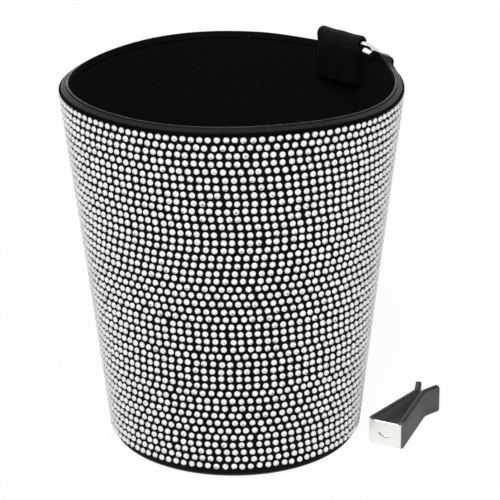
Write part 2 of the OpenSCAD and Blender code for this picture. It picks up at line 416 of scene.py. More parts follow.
def round_box(width, height, corner, steps=6):
    """Points of a rectangle with rounded corners, centred, anticlockwise."""
    a = np.linspace(0, math.pi / 2, steps)
    arc = np.stack([np.cos(a), np.sin(a)], 1) * corner
    sides = []
    for quarter, (sx, sy) in enumerate(((1, 1), (-1, 1), (-1, -1), (1, -1))):
        turn = quarter * math.pi / 2
        c, s = math.cos(turn), math.sin(turn)
        centre = np.array([sx * (width / 2 - corner), sy * (height / 2 - corner)])
        sides.append(centre + arc @ np.array([[c, s], [-s, c]]))
    return np.concatenate(sides)


# ---- finishes

# A pixel of the photograph's view is 0.4 mm wide, so pebble, fuzz and threads that are
# finer than that are drawn 0.25 to 0.5 mm wide, as coarse as they need to show.

# Noise goes from its darker to its lighter tone between these, and each finer layer of
# it has this share of the one before
NOISE_LOW, NOISE_HIGH = 0.35, 0.65
NOISE_ROUGH = 0.55
# A wave texture repeats every pi / 10 of its scaled coordinate
WAVE_STEP = math.pi / 10
# The painted dark reflection in a stone, in stone radii: its middle, its core and its edge
DARK_REFLECTION_AT = (0.0, -0.5, 0.0)
DARK_REFLECTION_CORE, DARK_REFLECTION_EDGE = 0.1, 0.55
# The webbing's painted light: where it starts, and where it is full. Below it the legs are
# painted in shade, above it the tube is painted lit.
PAINTED_LIGHT_FROM, PAINTED_LIGHT_TO = WALL_H, RIM_TOP + 3


def tone(text):
    """A colour written as sRGB hex, as linear red, green, blue and alpha."""
    parts = [int(text[i:i + 2], 16) / 255 for i in (1, 3, 5)]
    linear = [p / 12.92 if p <= 0.04045 else ((p + 0.055) / 1.055) ** 2.4 for p in parts]
    return (*linear, 1)


def add(tree, kind, sockets=None, stops=(), **settings):
    """Adds one node with its settings, and sets or links its sockets.

    stops are a colour ramp's ends, each a place from 0 to 1 and a colour as hex.
    """
    made = tree.nodes.new(kind)
    for key, value in settings.items():
        setattr(made, key, value)
    for key, value in (sockets or {}).items():
        if isinstance(value, bpy.types.NodeSocket):
            tree.links.new(value, made.inputs[key])
        else:
            made.inputs[key].default_value = value
    for k, (place, colour) in enumerate(stops):
        made.color_ramp.elements[k].color = tone(colour)
        made.color_ramp.elements[k].position = place
    return made


def new_finish(name):
    """An empty material, its tree, and the coordinates that its patterns read."""
    made = bpy.data.materials.new(name)
    made.use_nodes = True
    made.node_tree.nodes.clear()
    return made, made.node_tree, add(made.node_tree, "ShaderNodeTexCoord")


def grained(name, grain_mm, relief_mm, low, high, rough, ior, specular):
    """A finish with one grain: noise of a real size gives two close tones and a relief."""
    made, tree, at = new_finish(name)
    grain = add(tree, "ShaderNodeTexNoise", {
        "Vector": at.outputs["Object"], "Scale": 1 / (grain_mm * MM), "Detail": 3,
        "Roughness": NOISE_ROUGH})
    colour = add(tree, "ShaderNodeValToRGB", {"Fac": grain.outputs["Fac"]},
                 stops=((NOISE_LOW, low), (NOISE_HIGH, high)))
    relief = add(tree, "ShaderNodeBump", {
        "Height": grain.outputs["Fac"], "Distance": relief_mm * MM, "Strength": 1.0})
    skin = add(tree, "ShaderNodeBsdfPrincipled", {
        "Base Color": colour.outputs["Color"], "Roughness": rough, "IOR": ior,
        "Specular IOR Level": specular, "Normal": relief.outputs["Normal"]})
    add(tree, "ShaderNodeOutputMaterial", {"Surface": skin.outputs[0]})
    return made


# Polyurethane coated sheet, embossed: matt black with a fine pebble, which shows as a
# slight unevenness between the stones
SHEET = grained("coated_sheet", grain_mm=0.5, relief_mm=0.08, low="#050506",
                high="#0e0e10", rough=0.7, ior=1.5, specular=0.05)
# The same coated material drawn tight under the foot: a little smoother
BASE = grained("base_leather", grain_mm=0.5, relief_mm=0.04, low="#060607",
               high="#0e0e10", rough=0.4, ior=1.5, specular=0.1)
# Edge paint where the binding is cut: flat, and much darker than the binding
PAINT = grained("edge_paint", grain_mm=0.5, relief_mm=0.05, low="#020203",
                high="#060607", rough=0.7, ior=1.5, specular=0.02)
# Woven polyester tape, glued flat: smooth and almost black
TAPE = grained("seam_tape", grain_mm=0.3, relief_mm=0.04, low="#050506",
               high="#0a0a0b", rough=0.85, ior=1.45, specular=0.1)
# Twisted polyester thread: black, with a slight lustre
THREAD = grained("sewing_thread", grain_mm=0.25, relief_mm=0.06, low="#050506",
                 high="#0c0c0d", rough=0.6, ior=1.5, specular=0.06)
# Injection moulded polypropylene: dark grey and matt, with a faint mould texture
SHELL = grained("moulded_polypropylene", grain_mm=0.4, relief_mm=0.03, low="#2e2e2f",
                high="#353536", rough=0.5, ior=1.49, specular=0.5)


def rim_leather():
    """Polyurethane binding, turned over the rim: dark grey, semi-matt, creased.

    Creases 2.2 mm wide give its tones and its larger relief, and a pebble of 0.35 mm
    gives its roughness and its finer relief.
    """
    made, tree, at = new_finish("rim_leather")
    crease, pebble = (
        add(tree, "ShaderNodeTexNoise", {
            "Vector": at.outputs["Object"], "Scale": 1 / (size * MM), "Detail": detail,
            "Roughness": NOISE_ROUGH}).outputs["Fac"]
        for size, detail in ((2.2, 2), (0.35, 3)))
    colour = add(tree, "ShaderNodeValToRGB", {"Fac": crease},
                 stops=((NOISE_LOW, "#0b0b0c"), (NOISE_HIGH, "#151517")))
    rough = add(tree, "ShaderNodeMapRange", {
        "Value": pebble, "To Min": 0.3, "To Max": 0.45})
    folds = add(tree, "ShaderNodeBump", {
        "Height": crease, "Distance": 0.18 * MM, "Strength": 0.5})
    relief = add(tree, "ShaderNodeBump", {
        "Height": pebble, "Distance": 0.05 * MM, "Strength": 0.7,
        "Normal": folds.outputs["Normal"]})
    skin = add(tree, "ShaderNodeBsdfPrincipled", {
        "Base Color": colour.outputs["Color"], "Roughness": rough.outputs["Result"],
        "IOR": 1.5, "Specular IOR Level": 0.13, "Normal": relief.outputs["Normal"]})
    add(tree, "ShaderNodeOutputMaterial", {"Surface": skin.outputs[0]})
    return made


def woven_lining():
    """Polyester lining in an open diamond weave: near black, dull, threads 1.1 mm apart.

    The weave is the higher of two waves at right angles, turned by 45 degrees on the
    cloth's own UV map, and its tones are that times a fuzz of 0.3 mm.
    """
    made, tree, at = new_finish("woven_lining")
    turned = add(tree, "ShaderNodeMapping", {
        "Vector": at.outputs["UV"], "Rotation": (0, 0, math.radians(45))})
    warp, weft = (
        add(tree, "ShaderNodeTexWave", {
            "Vector": turned.outputs[0], "Scale": WAVE_STEP / (1.1 * MM)},
            bands_direction=axis, wave_profile="SIN").outputs["Fac"]
        for axis in "XY")
    weave = add(tree, "ShaderNodeMath", {0: warp, 1: weft}, operation="MAXIMUM")
    fuzz = add(tree, "ShaderNodeTexNoise", {
        "Vector": at.outputs["Object"], "Scale": 1 / (0.3 * MM), "Detail": 3,
        "Roughness": NOISE_ROUGH})
    pile = add(tree, "ShaderNodeMath", {
        0: weave.outputs[0], 1: fuzz.outputs["Fac"]}, operation="MULTIPLY")
    colour = add(tree, "ShaderNodeValToRGB", {"Fac": pile.outputs[0]},
                 stops=((0.2, "#050506"), (0.8, "#19191b")))
    relief = add(tree, "ShaderNodeBump", {
        "Height": weave.outputs[0], "Distance": 0.2 * MM, "Strength": 0.8})
    cloth = add(tree, "ShaderNodeBsdfPrincipled", {
        "Base Color": colour.outputs["Color"], "Roughness": 0.9, "IOR": 1.45,
        "Specular IOR Level": 0.07, "Normal": relief.outputs["Normal"]})
    add(tree, "ShaderNodeOutputMaterial", {"Surface": cloth.outputs[0]})
    return made


def ribbed_webbing():
    """Polyester grosgrain: black, dull, with fine threads across its ribs.

    Its tones and relief are a wave along the width, with threads 0.5 mm apart, times a
    fuzz of 0.35 mm. The tube round the ring's bar is painted a little grey, as painted
    light, and the sewn legs are painted black, as painted shade under the rim.
    """
    made, tree, at = new_finish("ribbed_webbing")
    thread = add(tree, "ShaderNodeTexWave", {
        "Vector": at.outputs["UV"], "Scale": WAVE_STEP / (0.5 * MM)},
        bands_direction="X", wave_profile="SIN")
    fuzz = add(tree, "ShaderNodeTexNoise", {
        "Vector": at.outputs["Object"], "Scale": 1 / (0.35 * MM), "Detail": 3,
        "Roughness": NOISE_ROUGH})
    pile = add(tree, "ShaderNodeMath", {
        0: thread.outputs["Fac"], 1: fuzz.outputs["Fac"]}, operation="MULTIPLY").outputs[0]
    place = add(tree, "ShaderNodeSeparateXYZ", {0: at.outputs["Object"]})
    # painted light and shade by height: from the shaded legs below the rim to the lit tube
    # above it
    painted_light_share = add(tree, "ShaderNodeMapRange", {
        "Value": place.outputs["Z"], "From Min": PAINTED_LIGHT_FROM * MM,
        "From Max": PAINTED_LIGHT_TO * MM}, interpolation_type="SMOOTHSTEP")
    # two tones of one webbing: painted shade for the legs, painted light for the tube
    legs, tube = (
        add(tree, "ShaderNodeValToRGB", {"Fac": pile},
            stops=((0.1, low), (0.8, high))).outputs["Color"]
        for low, high in (("#020202", "#060607"), ("#0b0b0c", "#1e1e21")))
    colour = add(tree, "ShaderNodeMix", {0: painted_light_share.outputs["Result"], 6: legs, 7: tube},
                 data_type="RGBA")
    relief = add(tree, "ShaderNodeBump", {
        "Height": pile, "Distance": 0.1 * MM, "Strength": 0.7})
    cloth = add(tree, "ShaderNodeBsdfPrincipled", {
        "Base Color": colour.outputs[2], "Roughness": 0.6, "IOR": 1.45,
        "Specular IOR Level": 0.06, "Sheen Weight": 0.1, "Sheen Roughness": 0.35,
        "Normal": relief.outputs["Normal"]})
    add(tree, "ShaderNodeOutputMaterial", {"Surface": cloth.outputs[0]})
    return made


def foiled_stone(name, low, high, rough):
    """Foil-backed acrylic: silvery white and glossy, with a painted grey reflection low in
    the stone.

    The UV map counts stone radii from each stone's middle, and an attribute says how grey
    its painted dark reflection is: in full out to the core radius from its middle, and none
    from the edge radius on.
    """
    made, tree, at = new_finish(name)
    facet = add(tree, "ShaderNodeAttribute", attribute_name="stone_tone")
    dark_reflection_strength = add(tree, "ShaderNodeAttribute", attribute_name="stone_dark_reflection")
    away = add(tree, "ShaderNodeVectorMath", {0: at.outputs["UV"], 1: DARK_REFLECTION_AT},
               operation="DISTANCE")
    patch = add(tree, "ShaderNodeMapRange", {
        "Value": away.outputs["Value"], "From Min": DARK_REFLECTION_CORE, "From Max": DARK_REFLECTION_EDGE,
        "To Min": 1, "To Max": 0}, interpolation_type="SMOOTHSTEP")
    share = add(tree, "ShaderNodeMath", {
        0: patch.outputs["Result"], 1: dark_reflection_strength.outputs["Fac"]}, operation="MULTIPLY")
    clear = add(tree, "ShaderNodeValToRGB", {"Fac": facet.outputs["Fac"]},
                stops=((0, low), (1, high)))
    # painted reflection: a grey patch low in each stone, mixed over its clear tone
    colour = add(tree, "ShaderNodeMix", {
        0: share.outputs[0], 6: clear.outputs["Color"], 7: tone("#58585c")},
        data_type="RGBA")
    stone = add(tree, "ShaderNodeBsdfPrincipled", {
        "Base Color": colour.outputs[2], "Roughness": rough, "IOR": 1.49,
        "Specular IOR Level": 0.2})
    add(tree, "ShaderNodeOutputMaterial", {"Surface": stone.outputs[0]})
    return made


def nickel_plate():
    """Bright nickel on welded steel wire: mirror-like, a little warm, lightly brushed."""
    made, tree, at = new_finish("nickel_plate")
    scratch = add(tree, "ShaderNodeTexNoise", {
        "Vector": at.outputs["Object"], "Scale": 1 / (0.8 * MM), "Detail": 3,
        "Roughness": NOISE_ROUGH})
    rough = add(tree, "ShaderNodeMapRange", {
        "Value": scratch.outputs["Fac"], "To Min": 0.04, "To Max": 0.1})
    relief = add(tree, "ShaderNodeBump", {
        "Height": scratch.outputs["Fac"], "Distance": 0.01 * MM, "Strength": 1.0})
    plate = add(tree, "ShaderNodeBsdfPrincipled", {
        "Base Color": tone("#dcdad6"), "Metallic": 1.0,
        "Roughness": rough.outputs["Result"], "Normal": relief.outputs["Normal"]})
    add(tree, "ShaderNodeOutputMaterial", {"Surface": plate.outputs[0]})
    return made


def zinc_plate():
    """Bright zinc on spring steel strip: pale, satin, with faint rolling marks.

    The marks are noise of 1.2 mm, six times finer across the strip than along it.
    """
    made, tree, at = new_finish("zinc_plate")
    drawn = add(tree, "ShaderNodeMapping", {
        "Vector": at.outputs["Object"], "Scale": (1, 1, 6)})
    stone_reflection_strengths = add(tree, "ShaderNodeTexNoise", {
        "Vector": drawn.outputs[0], "Scale": 1 / (1.2 * MM), "Detail": 4})
    colour = add(tree, "ShaderNodeValToRGB", {"Fac": stone_reflection_strengths.outputs["Fac"]},
                 stops=((NOISE_LOW, "#f0efea"), (NOISE_HIGH, "#fbfaf7")))
    rough = add(tree, "ShaderNodeMapRange", {
        "Value": stone_reflection_strengths.outputs["Fac"], "To Min": 0.3, "To Max": 0.45})
    relief = add(tree, "ShaderNodeBump", {
        "Height": stone_reflection_strengths.outputs["Fac"], "Distance": 0.01 * MM, "Strength": 1.0})
    plate = add(tree, "ShaderNodeBsdfPrincipled", {
        "Base Color": colour.outputs["Color"], "Metallic": 1.0,
        "Roughness": rough.outputs["Result"], "Normal": relief.outputs["Normal"]})
    add(tree, "ShaderNodeOutputMaterial", {"Surface": plate.outputs[0]})
    return made


def soft_sleeve():
    """Dipped soft PVC over the clip's legs: dark grey and satin, darker along its edges.

    A face is as dark as its normal is upright, as painted shade. An unevenness 3 mm wide
    gives the tones and the relief, and a grain of 0.3 mm the roughness.
    """
    made, tree, at = new_finish("soft_sleeve")
    skin, fine = (
        add(tree, "ShaderNodeTexNoise", {
            "Vector": at.outputs["Object"], "Scale": 1 / (size * MM), "Detail": detail,
            "Roughness": NOISE_ROUGH}).outputs["Fac"]
        for size, detail in ((3.0, 2), (0.3, 3)))
    facing = add(tree, "ShaderNodeSeparateXYZ", {0: at.outputs["Normal"]})
    upright_painted_shade = add(tree, "ShaderNodeMath", {0: facing.outputs["Z"]}, operation="ABSOLUTE")
    flat = add(tree, "ShaderNodeValToRGB", {"Fac": skin},
               stops=((NOISE_LOW, "#535355"), (NOISE_HIGH, "#606062")))
    # painted shade: faces that point up or down are mixed towards near black
    colour = add(tree, "ShaderNodeMix", {
        0: upright_painted_shade.outputs[0], 6: flat.outputs["Color"], 7: tone("#060607")},
        data_type="RGBA")
    rough = add(tree, "ShaderNodeMapRange", {"Value": fine, "To Min": 0.42, "To Max": 0.55})
    relief = add(tree, "ShaderNodeBump", {
        "Height": skin, "Distance": 0.06 * MM, "Strength": 0.6})
    dipped = add(tree, "ShaderNodeBsdfPrincipled", {
        "Base Color": colour.outputs[2], "Roughness": rough.outputs["Result"],
        "IOR": 1.53, "Specular IOR Level": 0.06, "Normal": relief.outputs["Normal"]})
    add(tree, "ShaderNodeOutputMaterial", {"Surface": dipped.outputs[0]})
    return made


RIM, LINING, WEBBING = rim_leather(), woven_lining(), ribbed_webbing()
CROWN = foiled_stone("foiled_crown", "#dcdcdf", "#fdfdfe", 0.3)
# The tables are painted greyer than the crowns: a painted reflection of a darker surround,
# seen straight on.
TABLE = foiled_stone("foiled_table", "#cbcbcf", "#fafafb", 0.2)
NICKEL, ZINC, SLEEVE = nickel_plate(), zinc_plate(), soft_sleeve()


# ---- the wall's layers

turned_piece(
    "coated_wall_sheet", layer(0, SHEET_T, COVER_ANGLE, SHEET_TOP), SHEET, "outer_sheet",
    ["outer_sheet"])

shell_section = np.concatenate([
    [[0, SHEET_T]],
    down_wall(SHEET_T, math.pi / 2, edge=SHELL_EDGE)[::-1],
    down_wall(SHELL_IN, math.pi / 2),
    [[0, SHELL_IN]],
])
turned_piece("moulded_bucket", shell_section, SHELL, "shell", ["shell"])

lining_wall = turned_piece(
    "woven_wall_lining", layer(SHELL_IN, LINING_IN, math.pi / 2), LINING, "lining",
    ["lining_wall"])

floor_out = ARC_R * np.arange(13) / 12
lining_floor = turned_piece(
    "woven_floor_lining",
    np.concatenate([np.stack([floor_out, 0 * floor_out + LINING_IN], 1),
                    np.stack([floor_out, 0 * floor_out + SHELL_IN], 1)[::-1]]),
    LINING, "lining", ["lining_floor"])

cover_section = np.concatenate([
    [[0, 0]],
    foot_arc(0, COVER_ANGLE, math.pi / 2, 20)[::-1],
    foot_arc(SHEET_T, COVER_ANGLE, math.pi / 2, 20),
    [[0, SHEET_T]],
])
turned_piece("base_foot_cover", cover_section, BASE, "base_cover", ["base_cover"])


def tape_piece():
    """The band over the lining's seam: a strip of the wall's section, SEAM_W wide.

    It thins towards its edges with the fourth power of the distance across.
    """
    top = WALL_H - LEG_LEN - SEAM_W
    faces = (down_wall(depth, math.pi / 2, 80) for depth in (LINING_IN, LINING_IN + SEAM_T))
    foot, inner = (face[face[:, 1] < top] for face in faces)
    across = np.linspace(-SEAM_W / 2, SEAM_W / 2, 9)
    crown = 1 - (across / (SEAM_W / 2)) ** 4
    rings = []
    for x, lift in zip(across, crown):
        thin = foot + (inner - foot) * (TAPE_EDGE + (1 - TAPE_EDGE) * lift)
        section = np.concatenate([foot, thin[::-1]])
        y = np.sqrt(np.maximum(section[:, 0] ** 2 - x * x, 0))
        rings.append(np.stack([np.full(len(y), x), y, section[:, 1]], 1))
    return swept_piece("seam_band", np.array(rings), TAPE, "bin", "seam_tape",
                       ["lining_seam_tape"])


tape_piece()


# ---- rhinestones


def stone_shape():
    """One domed stone in millimetres: points, its sloping quads, its top and its back.

    Its points are four regular decagons, and its quads join each to the next.
    """
    sides = 10
    a = np.arange(sides) * 2 * math.pi / sides
    points = np.concatenate([
        np.stack([r * np.cos(a), r * np.sin(a), np.full(sides, h)], 1)
        for r, h in STONE_RINGS
    ])
    j = np.arange(sides)
    after = (j + 1) % sides
    walls = np.concatenate([
        np.stack([k + j, k + after, k + sides + after, k + sides + j], 1)
        for k in range(0, 3 * sides, sides)
    ])
    return points, walls, 3 * sides + j[None, :], j[None, ::-1]


def stone_places(rng):
    """Angle, distance down the slope and row of every stone.

    The stones of a row are even steps apart from a random start, each moved a little.
    """
    places = []
    for row in range(ROWS):
        along = FIRST_ROW + row * ROW_PITCH
        radius, _ = on_wall(along, 0)
        count = round(2 * math.pi * radius / STONE_STEP)
        turn = (np.arange(count) + rng.random()) * 2 * math.pi / count
        turn = turn + rng.normal(0, ALONG_SPREAD, count) / radius
        down = along + rng.normal(0, DOWN_SPREAD, count)
        places.append(np.stack([turn, down, np.full(count, row)], 1))
    return np.concatenate(places)


def stones_piece(name, places, rng, stands_for=()):
    """Copies of the stone on the wall, each turned at random and tilted a little.

    A stone's points are its place, plus the shape's x along the row, its y up the slope
    and its height outwards.
    """
    shape, walls, table, back = stone_shape()
    turn, down = places[:, 0:1], places[:, 1:2]
    count = len(places)
    r, z = on_wall(down, 0)
    centre = turned_points(turn, r, z)[:, 0, :]
    c, s = np.cos(turn), np.sin(turn)
    lean_c, lean_s = math.cos(TAPER), math.sin(TAPER)
    side = np.concatenate([-s, c, 0 * s], 1)
    up = np.concatenate([lean_s * c, lean_s * s, lean_c + 0 * s], 1)
    out = np.concatenate([lean_c * c, lean_c * s, -lean_s + 0 * s], 1)
    tilt = rng.normal(0, TILT_SPREAD, (count, 2))
    out = out + tilt[:, :1] * side + tilt[:, 1:] * up
    out /= np.linalg.norm(out, axis=1, keepdims=True)
    side = np.cross(up, out)
    side /= np.linalg.norm(side, axis=1, keepdims=True)
    up = np.cross(out, side)
    spin = rng.random(count) * 2 * math.pi
    size = STONE_SIZE + rng.normal(0, SIZE_SPREAD, count)
    cs, sn = np.cos(spin)[:, None], np.sin(spin)[:, None]
    x = (shape[:, 0] * cs - shape[:, 1] * sn) * size[:, None]
    y = (shape[:, 0] * sn + shape[:, 1] * cs) * size[:, None]
    points = (centre[:, None, :] + x[..., None] * side[:, None, :]
              + y[..., None] * up[:, None, :] + shape[None, :, 2:3] * out[:, None, :])
    step = (np.arange(count) * len(shape))[:, None, None]
    blocks = [(walls[None] + step).reshape(-1, 4), (back[None] + step).reshape(count, -1),
              (table[None] + step).reshape(count, -1)]
    local = np.stack([x, y], -1).reshape(-1, 2) / STONE_R
    # each stone's painted dark reflection moves a little from its middle
    local += np.repeat(rng.normal(0, DARK_REFLECTION_SPREAD, (count, 2)), len(shape), axis=0)
    uv = local[np.concatenate([b.ravel() for b in blocks])]
    made = make_piece(name, points.reshape(-1, 3), blocks, [CROWN, TABLE], "bin",
                      "rhinestones", stands_for, uv=uv, crease=12, recalc=False)
    faces = made.data.polygons
    kind = np.zeros(len(faces), np.int32)
    kind[-count:] = 1
    faces.foreach_set("material_index", kind)
    tones = np.concatenate([rng.random(count * len(walls)), rng.random(2 * count)])
    # how strong each stone's painted dark reflection is
    stone_reflection_strengths = rng.random(count)
    stone_reflection_strengths = np.concatenate([np.repeat(stone_reflection_strengths, len(walls)), stone_reflection_strengths, stone_reflection_strengths])
    for layer_name, values in (("stone_tone", tones), ("stone_dark_reflection", stone_reflection_strengths)):
        made.data.attributes.new(layer_name, "FLOAT", "FACE").data.foreach_set(
            "value", values.astype(np.float32))
    return made


rng = np.random.default_rng(11)
places = stone_places(rng)
half = ROWS // 2
stones_piece("rhinestones_upper", places[places[:, 2] < half], rng, ["rhinestone_rows"])
stones_piece("rhinestones_lower", places[places[:, 2] >= half], rng)


# ---- rim binding


def binding_section():
    """Closed section of the rim binding, from under its outer edge over the top.

    A rounded outer edge, a slope up to a narrow groove, and a half-round bead along the
    inner edge. Also returns the places where the painted part ends, where the bead's
    crest is, and where the hidden underside starts.
    """
    out, inn = face_r(-BINDING_T, WALL_H), face_r(BINDING_IN, WALL_H)
    turn = np.radians(np.linspace(*EDGE_TURN, 8))
    edge = np.stack([out - EDGE_R + EDGE_R * np.cos(turn),
                     RIM_TOP - BINDING_FALL + EDGE_R * np.sin(turn)], 1)
    share = np.linspace(0, 1, 12)[1:, None]
    end = np.array([inn + SLOPE_END[0], RIM_TOP - SLOPE_END[1]])
    slope = edge[-1] + (end - edge[-1]) * share
    slope[:, 1] += SLOPE_CROWN * np.sin(share[:, 0] * math.pi)
    painted = int(np.argmax(slope[:, 0] < out - PAINT_W))
    slope[painted:, 1] += PAINT_STEP
    groove = np.array([(inn + across, RIM_TOP - down) for across, down in GROOVE])
    a = np.linspace(0, math.pi, 8)
    bead = np.stack([inn + BEAD_AT[0] + BEAD_R[0] * np.cos(a),
                     RIM_TOP - BEAD_AT[1] + BEAD_R[1] * np.sin(a)], 1)
    under = np.array([
        on_wall(BINDING_H, BINDING_IN), on_wall(BINDING_H, LINING_IN),
        (face_r(LINING_IN, WALL_H), WALL_H), (face_r(SHELL_IN, WALL_H), WALL_H),
        (face_r(SHEET_T, SHELL_EDGE), SHELL_EDGE),
        (face_r(SHEET_T, SHEET_TOP), SHEET_TOP), (face_r(0, SHEET_TOP), SHEET_TOP)])
    section = np.concatenate([[on_wall(BINDING_H, 0)], edge, slope, groove, bead, under])
    hidden = len(section) - len(under)
    return section, len(edge) + painted, hidden - len(bead) // 2 + 1, hidden


BINDING, PAINT_END, BEAD_CREST, HIDDEN = binding_section()
BINDING_TURNS = 1200


def binding_bulge(turn, place):
    """Creases of the turned-over binding, and its doubled end beside the loop.

    Creases are the mean of the sines in CREASES, times CREASE_H. The doubled end rises
    steeply by LAP_SWELL times LAP_T at its cut, sinks by SINK_SHARE of that, and closes
    beside the loop. Both grow outwards from the section's middle, and upwards.
    """
    across = place / len(BINDING) * 2 * math.pi
    wave = sum(np.sin(around * turn + over * across + start)
               for around, over, start in CREASES) / len(CREASES)
    seen = ((place > 0) & (place < HIDDEN)) * 1.0
    rise = smooth_step((turn - LAP_FROM) / LAP_RISE)
    sink = 1 - SINK_SHARE * smooth_step((turn - LAP_FROM - SINK_FROM) / SINK_TURN)
    close = 1 - smooth_step((turn - LAP_TO) / LAP_CLOSE)
    lap = rise * sink * close * LAP_T
    outward = np.clip((BINDING[None, :, 0] - BINDING[:, 0].mean()) / OUTWARD_FULL, -1, 1)
    return ((CREASE_H * wave + lap * LAP_SWELL) * seen * outward,
            (CREASE_H * wave + lap * LAP_SWELL * (place > LEVEL_PLACES)) * seen)


rim = turned_piece("rim_turnover", BINDING, [RIM, TAPE, PAINT], "binding", ["rim_binding"],
                   turns=BINDING_TURNS, bulge=binding_bulge, crease=50)
# the slots of RIM, TAPE and PAINT: paint outside, tape from the bead's crest inwards
across = np.arange(len(BINDING))
rim_finish = np.where(across >= BEAD_CREST, 1, np.where(across < PAINT_END, 2, 0))
rim.data.polygons.foreach_set(
    "material_index", np.tile(rim_finish.astype(np.int32), BINDING_TURNS))


# ---- the loop, its thread and its ring


def loop_path():
    """Middle line of the webbing in the YZ plane: up the outer leg, round the eye, down."""
    mid_r = (EYE_IN + EYE_OUT) / 2
    outer, inner = LEG_FACE - WEBBING_T / 2, LEG_FACE - 1.5 * WEBBING_T
    low = WALL_H - LEG_LEN
    back = LEG_LEN * math.tan(TAPER)
    a = np.radians(np.linspace(*EYE_TURN, 60))
    eye = np.stack([EYE_Y + mid_r * np.cos(a), EYE_Z + mid_r * np.sin(a)], 1)
    path = np.concatenate([
        [[outer - back, low], [outer, WALL_H], [outer, RIM_TOP + OUTER_RISE]],
        eye,
        [[inner, RIM_TOP + INNER_RISE], [inner, WALL_H], [inner - back, low]],
    ])
    return eased(spaced(path, PATH_STEP), 3)


def webbing_piece():
    """The folded webbing: its section carried along the path, with ribs across it.

    Each face stands out by RIB_H times a cosine along the path, flattened in the legs
    where they are sewn, and the strap waves by STRAP_WAVE times a sine of the place.
    """
    path = loop_path()
    at = along_path(path)
    ahead = np.gradient(path, axis=0)
    ahead /= np.linalg.norm(ahead, axis=1, keepdims=True)
    normal = np.stack([ahead[:, 1], -ahead[:, 0]], 1)
    edge = WEBBING_T * CORE_SHARE
    a = np.linspace(-math.pi / 2, math.pi / 2, 7)
    flat = np.linspace(-WEBBING_W / 2 + edge, WEBBING_W / 2 - edge, 30)
    xs = np.concatenate([flat[1:-1], flat[-1] + edge * np.cos(a), flat[-2:0:-1],
                         flat[0] - edge * np.cos(a)])
    side = np.full(len(flat) - 2, edge)
    ts = np.concatenate([-side, edge * np.sin(a), side, -edge * np.sin(a)])
    over = smooth_step((path[:, 1] - RIM_TOP) / WHOLE_ABOVE)
    whole = SEWN_SHARE + (1 - SEWN_SHARE) * over
    rib = (RIB_H * whole * np.cos(2 * math.pi * at / RIB_STEP))[:, None]
    thick = ts[None, :] * (1 + rib / edge)
    wave = STRAP_WAVE * np.sin(xs[None, :] * WAVE_ACROSS + at[:, None] * WAVE_ALONG)
    y = path[:, 0:1] + normal[:, 0:1] * (thick + wave)
    z = path[:, 1:2] + normal[:, 1:2] * (thick + wave)
    x = np.broadcast_to(xs[None, :], y.shape)
    rings = np.stack([x, y, z], -1)
    width = np.concatenate([xs, xs[:1]])

    def cloth_uv(ii, jj):
        return np.stack([width[jj], at[np.minimum(ii, len(at) - 1)]], -1) * MM

    return swept_piece("webbing_loop", rings, WEBBING, "bin", "webbing", ["hang_loop"],
                       uv=cloth_uv, crease=60)


webbing_piece()


def stitch_piece():
    """Short threads on the legs' inner face, in two rows.

    Each is a tube along x whose radius shrinks with the sixth power of the distance
    from its middle.
    """
    sides, count = 12, 15
    a = np.linspace(0, 2 * math.pi, sides, endpoint=False)
    t = np.linspace(-1, 1, count)
    fat = np.sqrt(np.maximum(1 - t ** 6, STITCH_END))
    one = np.stack([
        np.broadcast_to(t[:, None] * STITCH_LEN / 2, (count, sides)),
        fat[:, None] * np.cos(a) * STITCH_T * STITCH_PROUD,
        fat[:, None] * np.sin(a) * STITCH_W / 2,
    ], -1).reshape(1, -1, 3)
    step = (WEBBING_W - 2 * STITCH_LEN) / (STITCH_COUNT - 1)
    down, k = np.meshgrid(LEG_LEN * np.array(STITCH_ROWS), np.arange(STITCH_COUNT),
                          indexing="ij")
    y = LEG_FACE - down * math.tan(TAPER) - 2 * WEBBING_T - STITCH_SINK
    place = np.stack([-WEBBING_W / 2 + STITCH_LEN + k * step, y, WALL_H - down], -1)
    place = place.reshape(-1, 1, 3)
    quads = grid_faces(count, sides, False, True)[0]
    ends = np.array([np.arange(sides)[::-1], np.arange(sides) + (count - 1) * sides])
    shift = (np.arange(len(place)) * count * sides)[:, None, None]
    return make_piece(
        "leg_stitches", (one + place).reshape(-1, 3),
        [(quads + shift).reshape(-1, 4), (ends + shift).reshape(-1, sides)],
        THREAD, "bin", "thread", ["loop_stitches"])


stitch_piece()


def ring_piece():
    """The D-ring: a round wire along its bar, two tight corners and a half circle.

    It is drawn flat and leans by RING_LEAN about its bar, in the webbing's eye.
    """
    bar = RING_HALF - RING_CORNER
    corner = np.radians(np.linspace(90, 0, 16))
    bend = np.stack([bar + RING_CORNER * np.cos(corner),
                     -RING_CORNER + RING_CORNER * np.sin(corner)], 1)
    bow = np.radians(np.linspace(0, -180, 90))
    round_end = np.stack([RING_HALF * np.cos(bow),
                          -RING_CORNER - RING_LEG + RING_HALF * np.sin(bow)], 1)
    line = np.stack([np.linspace(-bar, bar, 24, endpoint=False), np.zeros(24)], 1)
    path = np.concatenate([line, bend, round_end, bend[::-1] * [-1, 1]])[:-1]
    ahead = np.roll(path, -1, 0) - np.roll(path, 1, 0)
    ahead /= np.linalg.norm(ahead, axis=1, keepdims=True)
    across = np.stack([-ahead[:, 1], ahead[:, 0]], 1)
    a = np.linspace(0, 2 * math.pi, 28, endpoint=False)
    radius = RING_WIRE / 2
    flat = path[:, None, :] + radius * np.cos(a)[None, :, None] * across[:, None, :]
    off = np.broadcast_to(radius * np.sin(a)[None, :], flat.shape[:2])
    c, s = math.cos(RING_LEAN), math.sin(RING_LEAN)
    rings = np.stack([flat[..., 0], EYE_Y + off * c - flat[..., 1] * s,
                      EYE_Z + off * s + flat[..., 1] * c], -1)
    return swept_piece("d_ring_wire", rings, NICKEL, "ring", "ring_metal", ["d_ring"],
                       loop=True)


ring_piece()


# ---- the vent clip

